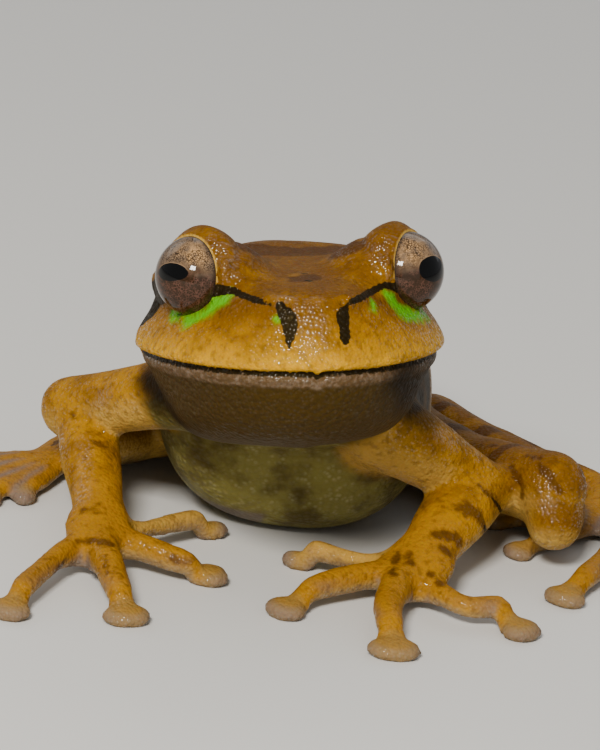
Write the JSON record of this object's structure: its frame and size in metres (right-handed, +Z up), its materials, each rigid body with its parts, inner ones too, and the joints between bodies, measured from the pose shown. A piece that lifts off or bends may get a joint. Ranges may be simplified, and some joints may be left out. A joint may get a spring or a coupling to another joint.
{
  "type": "masked treefrog",
  "caption": "Life-size model of a treefrog sitting up on its fingers, belly and toes, head raised, with round finger and toe pads.",
  "frame": {"origin": "floor point under the middle of the frog's box", "axes": "+Z up; the frog faces -Y, and its left side is +X"},
  "size_m": [0.0616, 0.0634, 0.0302],
  "materials": {
    "skin_bronze": "wet golden-brown frog skin",
    "skin_barred": "wet golden-brown frog skin with brown cross bars",
    "skin_belly": "bronze back, pale olive granular belly",
    "skin_digit": "tan frog skin with grey pads",
    "iris": "glossy eye, bronze iris and black pupil"
  },
  "bodies": {
    "root": {"head": "skin_bronze", "torso": "skin_belly", "eye_left": "iris", "eye_right": "iris", "upper_arm_left": "skin_bronze", "upper_arm_right": "skin_bronze", "forearm_left": "skin_barred", "forearm_right": "skin_barred", "hand_left": "skin_digit", "hand_right": "skin_digit", "finger_1_left": "skin_digit", "finger_2_left": "skin_digit", "finger_3_left": "skin_digit", "finger_4_left": "skin_digit", "finger_1_right": "skin_digit", "finger_2_right": "skin_digit", "finger_3_right": "skin_digit", "finger_4_right": "skin_digit", "thigh_left": "skin_barred", "thigh_right": "skin_barred", "shank_left": "skin_barred", "shank_right": "skin_barred", "tarsus_left": "skin_barred", "tarsus_right": "skin_barred", "foot_left": "skin_digit", "foot_right": "skin_digit", "toe_1_left": "skin_digit", "toe_2_left": "skin_digit", "toe_3_left": "skin_digit", "toe_4_left": "skin_digit", "toe_5_left": "skin_digit", "toe_1_right": "skin_digit", "toe_2_right": "skin_digit", "toe_3_right": "skin_digit", "toe_4_right": "skin_digit", "toe_5_right": "skin_digit"}
  },
  "joints": []
}
